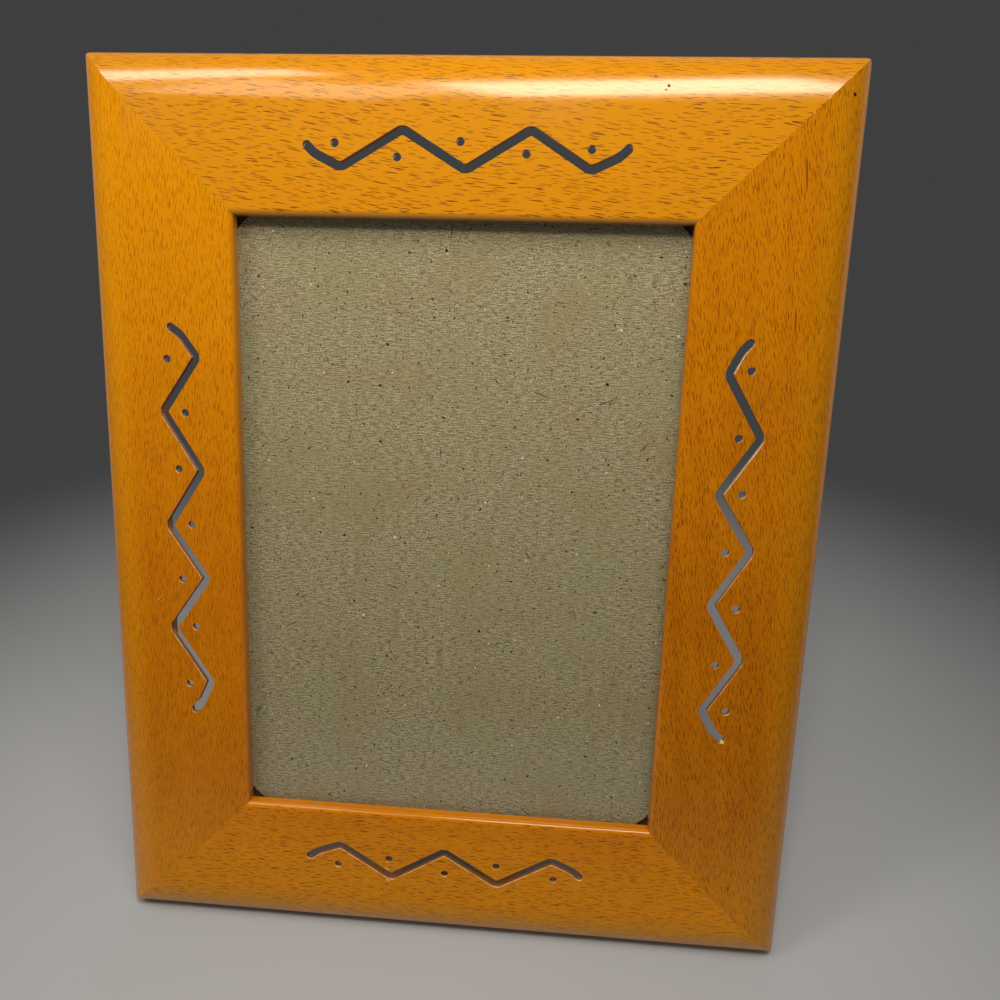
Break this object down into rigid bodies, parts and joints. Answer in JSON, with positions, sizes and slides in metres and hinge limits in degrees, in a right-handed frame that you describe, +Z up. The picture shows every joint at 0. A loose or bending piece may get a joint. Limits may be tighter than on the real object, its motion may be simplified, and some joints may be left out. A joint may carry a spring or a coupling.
{
  "type": "picture frame",
  "caption": "Upright wooden picture frame with mitred fretwork rails, glass, filler board, easel back with hinged strut, turn buttons and hanging ring.",
  "frame": {"origin": "centre of the standing part's box, on the surface it stands on", "axes": "+Z up, +X to the right along the frame's width, +Y to the back; the picture faces -Y and leans back 15 degrees, with the strut opened"},
  "size_m": [0.2036, 0.088, 0.2466],
  "materials": {
    "beech": "honey-amber stained beech with short dark flecks, semi-gloss lacquer",
    "glass": "clear 2 mm float glass",
    "grey_board": "matte recycled grey chipboard with dark and pale specks",
    "velour_board": "hardboard with black flocked velour",
    "zinc_plate": "zinc-plated pressed sheet",
    "steel": "bright steel wire",
    "rivet_steel": "nickel-plated rivet",
    "screw_steel": "zinc-plated screw"
  },
  "bodies": {
    "frame": {"top_rail": "beech", "bottom_rail": "beech", "left_rail": "beech", "right_rail": "beech", "corner_v_nails": "steel", "glass_pane": "glass", "filler_board": "grey_board", "back_panel": "velour_board", "hinge_panel_leaf": "zinc_plate", "hinge_pin": "steel", "panel_leaf_rivets": "rivet_steel", "turn_button_screws": "screw_steel", "hanger_strap": "zinc_plate", "hanger_rivet": "rivet_steel"},
    "strut": {"easel_strut": "velour_board", "hinge_strut_leaf": "zinc_plate", "strut_leaf_rivets": "rivet_steel"},
    "ring": {"hanger_ring": "steel"},
    "upper_left_button": {"turn_button_upper_left": "zinc_plate"},
    "lower_left_button": {"turn_button_lower_left": "zinc_plate"},
    "upper_right_button": {"turn_button_upper_right": "zinc_plate"},
    "lower_right_button": {"turn_button_lower_right": "zinc_plate"}
  },
  "joints": [
    {"name": "strut_fold", "type": "hinge", "parent": "frame", "child": "strut", "pos_m": [0, 0.00773, 0.15988], "axis": [1, 0, 0], "range_deg": [-26, 0]},
    {"name": "ring_swing", "type": "hinge", "parent": "frame", "child": "ring", "pos_m": [0, 0.01401, 0.18615], "axis": [1, 0, 0], "range_deg": [-17, 160]},
    {"name": "upper_left_button_turn", "type": "hinge", "parent": "frame", "child": "upper_left_button", "pos_m": [-0.067, 0.01007, 0.17634], "axis": [0, 0.9659, -0.2588], "continuous": true},
    {"name": "lower_left_button_turn", "type": "hinge", "parent": "frame", "child": "lower_left_button", "pos_m": [-0.067, -0.0184, 0.07009], "axis": [0, 0.9659, -0.2588], "continuous": true},
    {"name": "upper_right_button_turn", "type": "hinge", "parent": "frame", "child": "upper_right_button", "pos_m": [0.067, 0.01007, 0.17634], "axis": [0, 0.9659, -0.2588], "continuous": true},
    {"name": "lower_right_button_turn", "type": "hinge", "parent": "frame", "child": "lower_right_button", "pos_m": [0.067, -0.0184, 0.07009], "axis": [0, 0.9659, -0.2588], "continuous": true}
  ]
}
